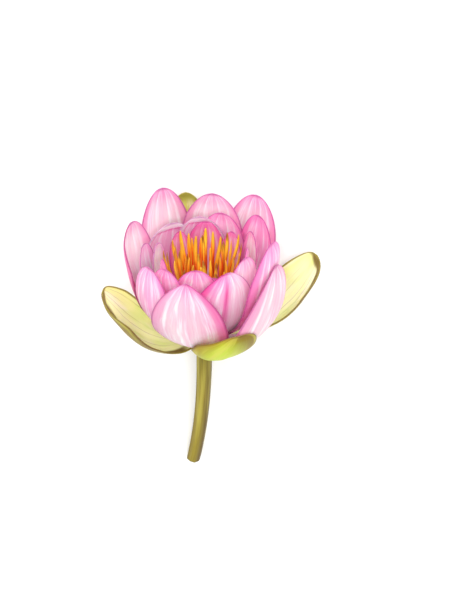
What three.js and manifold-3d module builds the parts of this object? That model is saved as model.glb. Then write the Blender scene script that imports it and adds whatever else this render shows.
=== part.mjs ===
// Water lily flower with its stalk, laid on its back on a table. Millimetres, +Z up.
// The flower is drawn in its own frame first: the axis is +Z from the stalk (z = 0) up through the
// bloom, azimuth 0 is the flower's right, 90 its back. lay() then turns it down on to the table.
import * as THREE from "three";
import Module from "manifold-3d";

const wasm = await Module();
wasm.setup();

// ---- driving dimensions ------------------------------------------------------------------------
const TILT_DEG = 17.3; // angle of the flower's axis off the table
const PRESS = 0.8; // how far the lowest petal, sepal and stalk are pressed flat by the weight
const STEM_LENGTH = 100;
const STEM_R_TOP = 4.9;
const STEM_R_END = 4.2;
const STEM_BEND = [-8, 8]; // how far the cut end has wandered sideways and backwards
const RECEPTACLE_R = 8.6;
const OVARY_R = 11.2;
const OVARY_TOP_R = 12.6;
const OVARY_TOP_Z = 24;
const STIGMA_R = 9.4;
const STIGMA_RAYS = 16;
const STAMEN_ROWS = [
  // count, foot radius, tip radius, tip height, half width, first azimuth
  { count: 18, foot: 11.9, r: 23.2, z: 65, w: 1.6, az: 6 },
  { count: 14, foot: 11.3, r: 17.4, z: 67.5, w: 1.5, az: 14 },
  { count: 11, foot: 10.7, r: 11.2, z: 65, w: 1.35, az: 0 },
];
const STAMEN_THICK = 0.8;
const BLADE_ROWS = 12; // spans from root to tip
const BLADE_COLS = 8; // spans across

// Each whorl's own form. r0, z0: root on the ovary; th0, a: direction and pull of the blade's profile
// at its root; th1, zb: direction at its tip and the height that holds the bowl's wall; t: thickness;
// base: root width as a share of the full width; um: where along the blade it is widest; tip: how
// blunt its end is (smaller is blunter).
const WHORLS = {
  sepal: { r0: 9.2, z0: 0.8, th0: -4, a: 40, th1: 70, zb: 15, t: 1.3, base: 0.34, um: 0.52, tip: 0.55 },
  outer: { r0: 11.6, z0: 3.4, th0: 14, a: 28, th1: 93, zb: 27, t: 1.0, base: 0.3, um: 0.6, tip: 0.56 },
  second: { r0: 11.9, z0: 7.4, th0: 30, a: 22, th1: 94, zb: 33, t: 0.9, base: 0.3, um: 0.6, tip: 0.56 },
  third: { r0: 12.3, z0: 13, th0: 44, a: 18, th1: 94, zb: 37, t: 0.8, base: 0.36, um: 0.58, tip: 0.56 },
  inner: { r0: 12.8, z0: 18, th0: 58, a: 14, th1: 93, zb: 43, t: 0.7, base: 0.42, um: 0.56, tip: 0.58 },
};

// The open sepals: nearly flat across.
const BOAT = { wrap: 0.4, th1: 62, zb: 20 };

// name, whorl, azimuth, tip radius, tip height, half width, and what differs from the whorl's form.
// lean: degrees the tip strays round the axis; roll: degrees the blade turns about its own length;
// wrap: 1 follows the bowl's curve across, more is cupped tighter; cup: how far the two margins turn
// up, from a share cup_root of the length upwards; grow: how fast the blade widens from its root (less
// is faster).
const BLADES = [
  [
    "sepal_right", "sepal", 22, 76.5, 42, 21.5,
    { ...BOAT, a: 37, um: 0.58, base: 0.3, tip: 0.44, cup: [7, 3.5] },
  ],
  ["sepal_back", "sepal", 101.7, 59, 71, 17, { th0: 1, a: 34.5, th1: 88, zb: 28 }],
  [
    "sepal_left", "sepal", 189, 62.5, 38.5, 21.5,
    { ...BOAT, th0: -17, a: 28, um: 0.52, base: 0.37, grow: 0.85, tip: 0.42, cup: [4, 8], roll: -10 },
  ],
  [
    "sepal_front", "sepal", 285, 51, 32, 18.5,
    {
      a: 26, th1: 72, zb: 17, um: 0.66, base: 0.3, tip: 0.42,
      lean: 10.5, cup: [6.5, 0], cup_root: 0, roll: 1,
    },
  ],

  ["petal_outer_1", "outer", 58.5, 63, 71.5, 20, { th1: 85, a: 26 }],
  ["petal_outer_2", "outer", 84, 50, 75, 21, { z0: 5 }],
  ["petal_outer_3", "outer", 118, 56, 79, 19, { um: 0.55, th1: 91 }],
  [
    "petal_outer_4", "outer", 163, 50, 70, 21,
    { z0: 5.2, a: 21, zb: 36, lean: -9, wrap: 1.1, cup: [0, 4.5], cup_root: 0.4 },
  ],
  [
    "petal_outer_5", "outer", 255.5, 45, 67.5, 25,
    { th0: 21, a: 25, base: 0.16, um: 0.47, tip: 0.8, lean: 2.5 },
  ],
  [
    "petal_outer_6", "outer", 316.5, 48.5, 66, 25.5,
    { r0: 11.9, z0: 5.9, th0: 6, a: 29, th1: 101, zb: 25, base: 0.16, um: 0.56, tip: 0.75, lean: 18 },
  ],

  ["petal_second_1", "second", 38, 44, 72, 17, {}],
  ["petal_second_2", "second", 74, 41, 67, 17, { z0: 9 }],
  ["petal_second_3", "second", 94, 39, 65.5, 18, { z0: 10.6, lip: 1.7 }],
  ["petal_second_4", "second", 137, 43.5, 61, 22, { lean: -18, lip: 1.7 }],
  ["petal_second_5", "second", 166, 38, 62, 16, { z0: 9 }],
  ["petal_second_6", "second", 217, 42, 68.5, 19, { a: 31, zb: 30, um: 0.45, base: 0.4, lean: 5 }],
  ["petal_second_7", "second", 288, 37, 68.5, 22, { z0: 9, um: 0.5, tip: 0.64, lean: 6 }],
  ["petal_second_8", "second", 330, 46, 81, 20, { um: 0.62, lean: 3 }],

  ["petal_third_1", "third", 20, 32, 70, 13, {}],
  ["petal_third_2", "third", 88, 31, 66, 13, {}],
  ["petal_third_3", "third", 159, 30.5, 62, 11, {}],
  ["petal_third_4", "third", 232, 35, 67, 15, {}],
  ["petal_third_5", "third", 263, 29, 67, 15, { z0: 14.8 }],
  ["petal_third_6", "third", 318, 34, 72, 15, {}],

  ["petal_inner_1", "inner", 48, 27, 65, 9, {}],
  ["petal_inner_2", "inner", 125, 27, 64, 9, {}],
  ["petal_inner_3", "inner", 208, 27, 65, 8, {}],
  ["petal_inner_4", "inner", 284, 26.5, 60, 9, {}],
  ["petal_inner_5", "inner", 350, 27, 68, 9, {}],
];

// ---- helpers -----------------------------------------------------------------------------------
const rad = (d) => (d * Math.PI) / 180;
const clamp = (x, lo, hi) => Math.min(hi, Math.max(lo, x));
const add = (a, b, k = 1) => [a[0] + k * b[0], a[1] + k * b[1], a[2] + k * b[2]];
const cross = (a, b) => [
  a[1] * b[2] - a[2] * b[1],
  a[2] * b[0] - a[0] * b[2],
  a[0] * b[1] - a[1] * b[0],
];
const unit = (a) => {
  const n = Math.hypot(...a);
  return [a[0] / n, a[1] / n, a[2] / n];
};

function bezier(p, t) {
  const s = 1 - t;
  const w = [s * s * s, 3 * s * s * t, 3 * s * t * t, t * t * t];
  return [0, 1].map((k) => w.reduce((sum, wi, i) => sum + wi * p[i][k], 0));
}

// A profile in (r, z) as evenly spaced points and their unit tangents.
function profile(g) {
  const p0 = [g.r0, g.z0];
  const p3 = [g.r, g.z];
  const p1 = [p0[0] + g.a * Math.cos(rad(g.th0)), p0[1] + g.a * Math.sin(rad(g.th0))];
  const p2 = [p3[0] - (p3[1] - g.zb) / Math.tan(rad(g.th1)), g.zb];
  const raw = Array.from({ length: 201 }, (_, i) => bezier([p0, p1, p2, p3], i / 200));
  const run = [0];
  for (let i = 1; i <= 200; i++)
    run.push(run[i - 1] + Math.hypot(raw[i][0] - raw[i - 1][0], raw[i][1] - raw[i - 1][1]));
  const pts = [];
  for (let i = 0, j = 0; i <= 160; i++) {
    const d = (run[200] * i) / 160;
    while (j < 199 && run[j + 1] < d) j++;
    const f = (d - run[j]) / (run[j + 1] - run[j]);
    pts.push([0, 1].map((k) => raw[j][k] + f * (raw[j + 1][k] - raw[j][k])));
  }
  return (u) => {
    const x = clamp(u, 0, 1) * 160;
    const i = Math.min(159, Math.floor(x));
    const f = x - i;
    const a = pts[Math.max(0, i - 2)];
    const b = pts[Math.min(160, i + 3)];
    const n = Math.hypot(b[0] - a[0], b[1] - a[1]);
    return {
      r: pts[i][0] + f * (pts[i + 1][0] - pts[i][0]),
      z: pts[i][1] + f * (pts[i + 1][1] - pts[i][1]),
      ct: (b[0] - a[0]) / n,
      st: (b[1] - a[1]) / n,
    };
  };
}

// 0 below lo, 1 above hi, with an easy start and end.
function smooth(x, lo, hi) {
  const t = clamp((x - lo) / (hi - lo), 0, 1);
  return t * t * (3 - 2 * t);
}

// How far a blade's margins stand up from the middle surface, towards the flower's axis.
function rise(u, v, l, g) {
  const [low, high] = g.cup ?? [0, 0];
  const root = g.cup_root ?? 0.05;
  const sides = (v > 0 ? high : low) * Math.abs(v) ** 3;
  const near = (Math.abs(v) ** 6 + smooth(u, 0.74, 1) ** 6) ** (1 / 6);
  return (
    sides * smooth(u, root, root + 0.35) * (1 - 0.9 * smooth(u, 0.7, 1)) +
    Math.tan(rad(g.roll ?? 0)) * l * smooth(u, 0, 0.4) +
    (g.lip ?? 0.5) * smooth(near, 0.7, 1.05) * smooth(u, 0.5, 0.8)
  );
}

function widthShape(u, g) {
  const grown = Math.sin((Math.PI / 2) * clamp(u / g.um, 0, 1)) ** (g.grow ?? 1.2);
  if (u < g.um) return g.base + (1 - g.base) * grown;
  return clamp(1 - ((u - g.um) / (1 - g.um)) ** 2, 0, 1) ** g.tip;
}

// The middle surface of a blade: u runs 0..1 from root to tip, v -1..1 across.
function surface(g) {
  const at = profile(g);
  return (u, v) => {
    const { r, z, ct, st } = at(u);
    const l = g.w * widthShape(u, g) * v;
    const wrap = g.wrap ?? 1;
    const k = u < 0.25 ? 1 + ((wrap - 1) * u) / 0.25 : wrap;
    const R = Math.max(r, 9) / k;
    const az = rad(g.az + (g.lean ?? 0) * clamp(u, 0, 1) ** 1.5);
    const er = [Math.cos(az), Math.sin(az), 0];
    const ep = [-Math.sin(az), Math.cos(az), 0];
    let off = add([0, 0, 0], er, -R * (1 - Math.cos(l / R)));
    off = add(off, ep, R * Math.sin(l / R));
    const up = [-st * er[0], -st * er[1], ct];
    off = add(off, up, rise(u, v, l, g));
    return add([r * er[0], r * er[1], z], off);
  };
}

function normalAt(P, u, v) {
  const e = 1e-3;
  const uu = clamp(u, e, 0.97);
  const vv = clamp(v, -1 + e, 1 - e);
  const du = add(P(uu + e, vv), P(uu - e, vv), -1);
  const dv = add(P(uu, vv + e), P(uu, vv - e), -1);
  return unit(cross(du, dv)); // towards the flower's axis
}

function toGeometry(points, tris) {
  const g = new THREE.BufferGeometry();
  g.setAttribute("position", new THREE.Float32BufferAttribute(points.flat(), 3));
  g.setIndex(tris.flat());
  return g;
}

// A blade as one closed solid: inner face, outer face and the edge between them, triangles alike on
// both faces.
function bladeSolid(g) {
  const P = surface(g);
  const rows = BLADE_ROWS;
  const cols = BLADE_COLS;
  const inner = [];
  const outer = [];
  const index = [];
  for (let i = 0; i <= rows; i++) {
    const s = i / rows;
    const u = 0.45 * s + 0.55 * Math.sin((s * Math.PI) / 2);
    index.push([]);
    for (let j = 0; j <= cols; j++) {
      if (i === rows && j > 0) {
        index[i].push(index[i][0]);
        continue;
      }
      const v = i === rows ? 0 : (2 * j) / cols - 1;
      const p = P(u, v);
      const n = normalAt(P, u, v);
      index[i].push(inner.length);
      inner.push(add(p, n, g.t / 2));
      outer.push(add(p, n, -g.t / 2));
    }
  }
  lay(inner, outer);
  const o = inner.length;
  const tris = [];
  const face = (a, b, c) => {
    if (a === b || b === c || a === c) return;
    tris.push([a, b, c], [a + o, c + o, b + o]);
  };
  for (let i = 0; i < rows; i++)
    for (let j = 0; j < cols; j++) {
      const [a, b, c, d] = [index[i][j], index[i + 1][j], index[i + 1][j + 1], index[i][j + 1]];
      if (j < cols / 2) {
        face(a, b, c);
        face(a, c, d);
      } else {
        face(a, b, d);
        face(b, c, d);
      }
    }
  // the rim, walked once round
  const rim = [];
  for (let j = 0; j <= cols; j++) rim.push(index[0][j]);
  for (let i = 1; i <= rows; i++) rim.push(index[i][cols]);
  for (let i = rows - 1; i >= 1; i--) rim.push(index[i][0]);
  for (let k = 0; k < rim.length; k++) {
    const a = rim[k];
    const b = rim[(k + 1) % rim.length];
    tris.push([a, b, b + o], [a, b + o, a + o]);
  }
  return toGeometry([...inner, ...outer], tris);
}

// ---- laying down -------------------------------------------------------------------------------
const SIN = Math.sin(rad(TILT_DEG));
const COS = Math.cos(rad(TILT_DEG));
let floorLevel = -200;
const down = (p) => [p[0], p[1] * SIN + p[2] * COS, -p[1] * COS + p[2] * SIN];

// Turns paired points (two faces of one blade) down and presses what would sink into the table flat.
function lay(inner, outer) {
  for (let i = 0; i < inner.length; i++) {
    const a = down(inner[i]);
    const b = down(outer[i]);
    const lift = Math.max(0, floorLevel - Math.min(a[2], b[2]));
    inner[i] = [a[0], a[1], a[2] - floorLevel + lift];
    outer[i] = [b[0], b[1], b[2] - floorLevel + lift];
  }
}

// ---- turned solids -----------------------------------------------------------------------------
function revolve(outline, sides) {
  const points = [];
  const tris = [];
  const ring = outline.map(([r, z]) => {
    const start = points.length;
    if (r < 1e-6) {
      points.push([0, 0, z]);
      return { start, n: 1 };
    }
    for (let i = 0; i < sides; i++) {
      const a = (2 * Math.PI * i) / sides;
      points.push([r * Math.cos(a), r * Math.sin(a), z]);
    }
    return { start, n: sides };
  });
  for (let k = 0; k + 1 < ring.length; k++) {
    const [p, q] = [ring[k], ring[k + 1]];
    for (let i = 0; i < sides; i++) {
      const j = (i + 1) % sides;
      const [a, b] = [p.start + (p.n > 1 ? i : 0), p.start + (p.n > 1 ? j : 0)];
      const [c, d] = [q.start + (q.n > 1 ? i : 0), q.start + (q.n > 1 ? j : 0)];
      if (p.n > 1) tris.push([a, b, d]);
      if (q.n > 1) tris.push([a, d, c]);
    }
  }
  return { points, tris };
}

// Ovary with its shoulder and the dished, rayed stigma.
function pistil() {
  const rim = OVARY_TOP_Z;
  const outline = [
    [0, -0.9],
    [OVARY_R - 3.6, -0.9],
    [OVARY_R - 2.8, 0],
    [OVARY_R - 2.6, 1.9],
    [OVARY_R - 0.1, 3.1],
    [OVARY_R + 0.1, 7],
    [OVARY_R + 0.5, 12],
    [OVARY_TOP_R - 0.4, 18],
    [OVARY_TOP_R - 0.2, rim - 1.4],
    [OVARY_TOP_R - 0.7, rim],
    [STIGMA_R + 0.4, rim + 0.2],
    [STIGMA_R, rim + 2.2],
    [STIGMA_R - 1.2, rim + 2.6],
    [STIGMA_R - 3.4, rim - 0.2],
    [STIGMA_R - 6.6, rim - 2],
    [1.8, rim - 2.2],
    [1.2, rim - 0.4],
    [0, rim + 0.2],
  ];
  const sides = STIGMA_RAYS * 2;
  const made = revolve(outline, sides);
  // rays: every second line of the dish stands a little proud
  made.points.forEach((p) => {
    const r = Math.hypot(p[0], p[1]);
    const line = Math.round((Math.atan2(p[1], p[0]) / (2 * Math.PI)) * sides + sides) % 2;
    if (r > 2 && r < STIGMA_R - 2 && p[2] > rim - 3 && line) p[2] += 0.7;
  });
  return made;
}

// Stalk: follows a slow bend from the receptacle to the cut end, slightly ribbed.
function stem() {
  const points = [];
  const tris = [];
  const sides = 20;
  const rings = [];
  const steps = 16;
  const radius = (s) => STEM_R_TOP + (STEM_R_END - STEM_R_TOP) * s;
  const path = [
    { s: 0, d: 1.2, r: RECEPTACLE_R - 0.8 },
    { s: 0, d: 2.6, r: RECEPTACLE_R - 0.9 },
    { s: 0, d: 4.6, r: RECEPTACLE_R - 2.4 },
    { s: 0.02, d: 7, r: STEM_R_TOP + 0.35 },
  ];
  for (let i = 1; i <= steps; i++) {
    const s = 0.04 + (0.96 * i) / steps;
    path.push({ s, d: s * STEM_LENGTH + 6 * (1 - s), r: radius(s) });
  }
  path.forEach(({ s, d, r }) => {
    const cx = STEM_BEND[0] * s ** 2.2;
    const cy = STEM_BEND[1] * s ** 2;
    const slope = [(STEM_BEND[0] * 2.2 * s ** 1.2) / STEM_LENGTH, (STEM_BEND[1] * 2 * s) / STEM_LENGTH];
    const start = points.length;
    for (let i = 0; i < sides; i++) {
      const a = (2 * Math.PI * i) / sides;
      const [x, y] = [r * Math.cos(a), r * Math.sin(a)];
      points.push([cx + x, cy + y, -d + x * slope[0] + y * slope[1]]);
    }
    rings.push(start);
  });
  for (let k = 0; k + 1 < rings.length; k++)
    for (let i = 0; i < sides; i++) {
      const j = (i + 1) % sides;
      tris.push([rings[k] + i, rings[k + 1] + i, rings[k + 1] + j]);
      tris.push([rings[k] + i, rings[k + 1] + j, rings[k] + j]);
    }
  const cap = (start, flip, centre) => {
    const c = points.length;
    points.push(centre);
    for (let i = 0; i < sides; i++) {
      const j = (i + 1) % sides;
      tris.push(flip ? [c, start + j, start + i] : [c, start + i, start + j]);
    }
  };
  cap(rings[0], false, [0, 0, -1.2]);
  cap(rings[rings.length - 1], true, [STEM_BEND[0], STEM_BEND[1], -STEM_LENGTH]);
  return { points, tris };
}

// ---- stamens -----------------------------------------------------------------------------------
function solid({ points, tris }) {
  return new wasm.Manifold(
    new wasm.Mesh({
      numProp: 3,
      vertProperties: new Float32Array(points.flat()),
      triVerts: new Uint32Array(tris.flat()),
    }),
  );
}

// One strap-shaped stamen from the collar to its pointed tip, flat side to the axis.
function stamen(az, foot, r, z, w, bow) {
  const p0 = [foot, OVARY_TOP_Z + 0.9];
  const p1 = [foot + bow, OVARY_TOP_Z + 13];
  const p2 = [r + bow * 0.6, z - 14];
  const p3 = [r, z];
  const wide = [0.8, 1, 1, 0.9, 0.62];
  const points = [];
  const tris = [];
  const er = [Math.cos(az), Math.sin(az)];
  const ep = [-er[1], er[0]];
  const place = (rr, l, zz) => [rr * er[0] + l * ep[0], rr * er[1] + l * ep[1], zz];
  const n = wide.length;
  for (let i = 0; i < n; i++) {
    const [rr, zz] = bezier([p0, p1, p2, p3], i / n);
    const h = STAMEN_THICK / 2;
    points.push(place(rr - h, -w * wide[i], zz), place(rr - h, w * wide[i], zz));
    points.push(place(rr + h, w * wide[i], zz), place(rr + h, -w * wide[i], zz));
  }
  points.push(place(r, 0, z));
  for (let i = 0; i + 1 < n; i++)
    for (let k = 0; k < 4; k++) {
      const [a, b] = [4 * i + k, 4 * i + ((k + 1) % 4)];
      tris.push([a, b, b + 4], [a, b + 4, a + 4]);
    }
  for (let k = 0; k < 4; k++) tris.push([4 * (n - 1) + k, 4 * (n - 1) + ((k + 1) % 4), 4 * n]);
  tris.push([0, 2, 1], [0, 3, 2]);
  const made = solid({ points, tris });
  return made.volume() < 0 ? solid({ points, tris: tris.map(([a, b, c]) => [a, c, b]) }) : made;
}

function stamens() {
  let seed = 41;
  const chance = () => {
    seed = (seed * 16807) % 2147483647;
    return seed / 2147483647 - 0.5;
  };
  const ring = revolve(
    [
      [10.1, OVARY_TOP_Z + 0.5],
      [12.5, OVARY_TOP_Z + 0.5],
      [12.7, OVARY_TOP_Z + 1.4],
      [12.2, OVARY_TOP_Z + 2.2],
      [10.3, OVARY_TOP_Z + 2.2],
      [10.1, OVARY_TOP_Z + 0.5],
    ],
    40,
  );
  let all = solid(weld(ring));
  if (all.volume() < 0) throw new Error("collar is inside out");
  for (const row of STAMEN_ROWS)
    for (let i = 0; i < row.count; i++) {
      const az = rad(row.az + (360 * i) / row.count) + 0.16 * chance();
      const r = row.r + 2.6 * chance();
      const z = row.z + 10 * chance();
      all = all.add(stamen(az, row.foot, r, z, row.w, 1.5 + 1.4 * chance()));
    }
  const m = all.getMesh();
  const points = [];
  for (let i = 0; i < m.numVert; i++)
    points.push([0, 1, 2].map((k) => m.vertProperties[i * m.numProp + k]));
  const tris = [];
  for (let i = 0; i < m.numTri; i++) tris.push([...m.triVerts.subarray(3 * i, 3 * i + 3)]);
  return { points, tris };
}

// A closed ring outline repeats its first point: the two copies become one.
function weld({ points, tris }) {
  const seen = new Map();
  const to = points.map((p) => {
    const key = p.map((x) => x.toFixed(5)).join();
    if (!seen.has(key)) seen.set(key, seen.size);
    return seen.get(key);
  });
  const kept = [];
  points.forEach((p, i) => (kept[to[i]] = p));
  return { points: kept, tris: tris.map((t) => t.map((i) => to[i])) };
}

function laid({ points, tris }) {
  const copy = points.map((p) => [...p]);
  lay(copy, points.map((p) => [...p]));
  return toGeometry(copy, tris);
}

// ---- assembly ----------------------------------------------------------------------------------
const COLOURS = {
  sepal: 0xa9a64a,
  outer: 0xf6c6df,
  second: 0xf3aed2,
  third: 0xee93c2,
  inner: 0xe97fb6,
  stem: 0x97863a,
  pistil: 0xe8c860,
  stamens: 0xf59c33,
};

const flower = new THREE.Group();
flower.name = "water_lily_flower";

function put(name, kind, geometry) {
  geometry.computeVertexNormals();
  const material = new THREE.MeshStandardMaterial({ color: COLOURS[kind], roughness: 0.6 });
  const mesh = new THREE.Mesh(geometry, material);
  mesh.name = name;
  flower.add(mesh);
}

const specs = BLADES.map(([name, whorl, az, r, z, w, more]) => ({
  name,
  whorl,
  ...WHORLS[whorl],
  az,
  r,
  z,
  w,
  ...more,
}));

// The table's level: the lowest point of the flower and the lowest of the stalk, less the pressing.
const lowest = (geometry) => {
  let z = 1e9;
  const p = geometry.getAttribute("position");
  for (let i = 0; i < p.count; i++) z = Math.min(z, p.getZ(i) + floorLevel);
  return z;
};
const flowerLowest = Math.min(...specs.map((g) => lowest(bladeSolid(g))));
floorLevel = Math.min(flowerLowest, lowest(laid(stem()))) + PRESS;

for (const g of specs) put(g.name, g.whorl, bladeSolid(g));
put("stem", "stem", laid(stem()));
put("pistil", "pistil", laid(pistil()));
put("stamens", "stamens", laid(stamens()));

// The origin is the middle of the footprint, on the table.
const box = new THREE.Box3().setFromObject(flower);
const middle = box.getCenter(new THREE.Vector3());
flower.children.forEach((mesh) => mesh.geometry.translate(-middle.x, -middle.y, 0));

export default flower;
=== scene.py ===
"""Water lily flower lying on its back: fine petals, sepals, stamens, ovary and stalk."""

import math

import bmesh
import bpy
import numpy as np
from mathutils import Matrix, Vector

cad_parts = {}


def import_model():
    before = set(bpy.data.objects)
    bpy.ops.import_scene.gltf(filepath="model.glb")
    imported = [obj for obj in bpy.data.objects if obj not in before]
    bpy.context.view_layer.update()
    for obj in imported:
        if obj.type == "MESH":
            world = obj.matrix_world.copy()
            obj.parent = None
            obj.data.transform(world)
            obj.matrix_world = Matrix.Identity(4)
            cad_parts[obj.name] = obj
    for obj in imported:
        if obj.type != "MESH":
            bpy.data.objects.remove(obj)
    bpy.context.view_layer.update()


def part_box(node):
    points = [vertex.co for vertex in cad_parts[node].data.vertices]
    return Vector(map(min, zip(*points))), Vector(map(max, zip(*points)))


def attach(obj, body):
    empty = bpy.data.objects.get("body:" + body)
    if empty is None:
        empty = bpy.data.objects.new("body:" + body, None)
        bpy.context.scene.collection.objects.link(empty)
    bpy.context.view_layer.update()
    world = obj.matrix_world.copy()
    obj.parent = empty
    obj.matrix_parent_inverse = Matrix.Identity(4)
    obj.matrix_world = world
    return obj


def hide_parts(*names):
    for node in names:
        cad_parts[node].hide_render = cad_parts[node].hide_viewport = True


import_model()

# ---- the same driving dimensions as the part's source, in millimetres ------------------------------
TILT = math.radians(17.3)  # how far the flower's axis rises from the table
SIN, COS = math.sin(TILT), math.cos(TILT)
STEM_LENGTH = 100.0
STEM_R_TOP, STEM_R_END = 4.9, 4.2
STEM_BEND = (-8.0, 8.0)
RECEPTACLE_R = 8.6
OVARY_R, OVARY_TOP_R, OVARY_TOP_Z = 11.2, 12.6, 24.0
STIGMA_R = 9.4
STIGMA_RAYS = 16
STAMEN_ROWS = (
    # count, foot radius, tip radius, tip height, half width, first azimuth, how far its red climbs
    (18, 11.9, 23.2, 65.0, 1.6, 6.0, -0.02),
    (14, 11.3, 17.4, 67.5, 1.5, 14.0, 0.1),
    (11, 10.7, 11.2, 65.0, 1.35, 0.0, 0.24),
)
# A blade's middle line leaves the ovary at radius r0 and height z0, at th0 degrees, and its tip
# points at th1 degrees. a is the length of the lower handle, zb the height of the upper one.
# t is the thickness. The width starts at base, is fullest at um and ends bluntly as tip says.
WHORLS = {
    "sepal": dict(r0=9.2, z0=0.8, th0=-4, a=40, th1=70, zb=15, t=1.3, base=0.34, um=0.52, tip=0.55),
    "outer": dict(r0=11.6, z0=3.4, th0=14, a=28, th1=93, zb=27, t=1.0, base=0.3, um=0.6, tip=0.56),
    "second": dict(r0=11.9, z0=7.4, th0=30, a=22, th1=94, zb=33, t=0.9, base=0.3, um=0.6, tip=0.56),
    "third": dict(r0=12.3, z0=13, th0=44, a=18, th1=94, zb=37, t=0.8, base=0.36, um=0.58, tip=0.56),
    "inner": dict(r0=12.8, z0=18, th0=58, a=14, th1=93, zb=43, t=0.7, base=0.42, um=0.56, tip=0.58),
}
# What a blade has unless its row says otherwise. wrap is how closely it follows the flower's round
# form, grow how slowly it widens, cup how far its two sides turn up, from cup_root on. roll and
# lean are in degrees. lip and wave are how far its margin rolls in and waves. band is the side, 1
# or -1, that has a broad olive margin, and broad how much that widens towards the tip.
USUAL = dict(wrap=1.0, grow=1.2, cup=(0, 0), cup_root=0.05, roll=0, lean=0, lip=0.5, wave=0.22, band=0)
# name, whorl, azimuth, tip radius, tip height, half width, differences from the whorl's form
BLADES = (
    ("sepal_right", "sepal", 22, 76.5, 42, 21.5,
     dict(th0=-4, a=37, th1=62, zb=20, wrap=0.4, um=0.58, base=0.3, tip=0.44,
          cup=(7, 3.5), wave=0.1, band=-1, broad=1.5)),
    ("sepal_back", "sepal", 101.7, 59, 71, 17, dict(th0=1, a=34.5, th1=88, zb=28)),
    ("sepal_left", "sepal", 189, 62.5, 38.5, 21.5,
     dict(th0=-17, a=28, th1=62, zb=20, um=0.52, wrap=0.4, base=0.37, grow=0.85, tip=0.42,
          cup=(4, 8), roll=-10, wave=0.1, band=1, broad=9.5)),
    ("sepal_front", "sepal", 285, 51, 32, 18.5,
     dict(th0=-4, a=26, th1=72, zb=17, um=0.66, base=0.3, tip=0.42, lean=10.5,
          cup=(6.5, 0), cup_root=0, roll=1, wave=0.1)),
    ("petal_outer_1", "outer", 58.5, 63, 71.5, 20, dict(th1=85, a=26)),
    ("petal_outer_2", "outer", 84, 50, 75, 21, dict(z0=5)),
    ("petal_outer_3", "outer", 118, 56, 79, 19, dict(um=0.55, th1=91)),
    ("petal_outer_4", "outer", 163, 50, 70, 21,
     dict(z0=5.2, a=21, zb=36, lean=-9, wrap=1.1, cup=(0, 4.5), cup_root=0.4)),
    ("petal_outer_5", "outer", 255.5, 45, 67.5, 25,
     dict(th0=21, a=25, base=0.16, um=0.47, tip=0.8, lean=2.5)),
    ("petal_outer_6", "outer", 316.5, 48.5, 66, 25.5,
     dict(r0=11.9, z0=5.9, th0=6, a=29, th1=101, zb=25, base=0.16, um=0.56, tip=0.75, lean=18)),
    ("petal_second_1", "second", 38, 44, 72, 17, {}),
    ("petal_second_2", "second", 74, 41, 67, 17, dict(z0=9)),
    ("petal_second_3", "second", 94, 39, 65.5, 18, dict(z0=10.6, lip=1.7)),
    ("petal_second_4", "second", 137, 43.5, 61, 22, dict(lean=-18, lip=1.7)),
    ("petal_second_5", "second", 166, 38, 62, 16, dict(z0=9)),
    ("petal_second_6", "second", 217, 42, 68.5, 19, dict(a=31, zb=30, um=0.45, base=0.4, lean=5)),
    ("petal_second_7", "second", 288, 37, 68.5, 22, dict(z0=9, um=0.5, tip=0.64, lean=6)),
    ("petal_second_8", "second", 330, 46, 81, 20, dict(um=0.62, lean=3)),
    ("petal_third_1", "third", 20, 32, 70, 13, {}),
    ("petal_third_2", "third", 88, 31, 66, 13, {}),
    ("petal_third_3", "third", 159, 30.5, 62, 11, {}),
    ("petal_third_4", "third", 232, 35, 67, 15, {}),
    ("petal_third_5", "third", 263, 29, 67, 15, dict(z0=14.8)),
    ("petal_third_6", "third", 318, 34, 72, 15, {}),
    ("petal_inner_1", "inner", 48, 27, 65, 9, {}),
    ("petal_inner_2", "inner", 125, 27, 64, 9, {}),
    ("petal_inner_3", "inner", 208, 27, 65, 8, {}),
    ("petal_inner_4", "inner", 284, 26.5, 60, 9, {}),
    ("petal_inner_5", "inner", 350, 27, 68, 9, {}),
)
FOLD_DEPTH = 0.35  # of the shallow fold along every blade's middle
MARGIN_PROUD = 0.42  # how far a blade's rounded margin stands out, in thicknesses
BLADE_ROWS, BLADE_COLS = 84, 44
CURVE_SAMPLES, PROFILE_SAMPLES = 401, 321

# ---- colours (sRGB 0-255) --------------------------------------------------------------------------
PINKS = ((245, 237, 239), (242, 213, 224), (239, 185, 208), (235, 154, 193), (229, 116, 172),
         (217, 74, 144), (196, 42, 112))
# how far along PINKS each whorl's petals are in the middle, at the margin and at the foot; the foot, mostly
# deeper, is painted shade, where the petals crowd round the ovary and shade each other
WHORL_TONES = {
    "outer": (0.26, 0.55, 0.44),
    "second": (0.24, 0.58, 0.62),
    "third": (0.28, 0.6, 0.7),
    "inner": (0.5, 0.72, 0.85),
}
TONES = {
    "petal_outer_2": (0.24, 0.5, 0.5),
    "petal_outer_4": (0.14, 0.52, 0.36),
    "petal_outer_5": (0.29, 0.63, 0.46),
    "petal_outer_6": (0.27, 0.58, 0.06),
    "petal_second_1": (0.42, 0.66, 0.6),
    "petal_second_2": (0.33, 0.6, 0.66),
    "petal_second_3": (0.3, 0.56, 0.62),
    "petal_second_4": (0.34, 0.58, 0.6),
    "petal_second_5": (0.2, 0.5, 0.36),
    "petal_second_6": (0.42, 0.6, 0.46),
    # painted light: petal_second_7's foot is kept pale to offset the shade it lies in between its
    # neighbours
    "petal_second_7": (0.36, 0.58, 0.14),
    "petal_second_8": (0.46, 0.64, 0.5),
    "petal_third_1": (0.3, 0.66, 0.7),
    "petal_third_2": (0.52, 0.72, 0.8),
    "petal_third_3": (0.0, 0.4, 0.3),
    "petal_third_4": (0.42, 0.62, 0.7),
    "petal_third_5": (0.44, 0.64, 0.72),
    "petal_third_6": (0.2, 0.55, 0.6),
}
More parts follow.
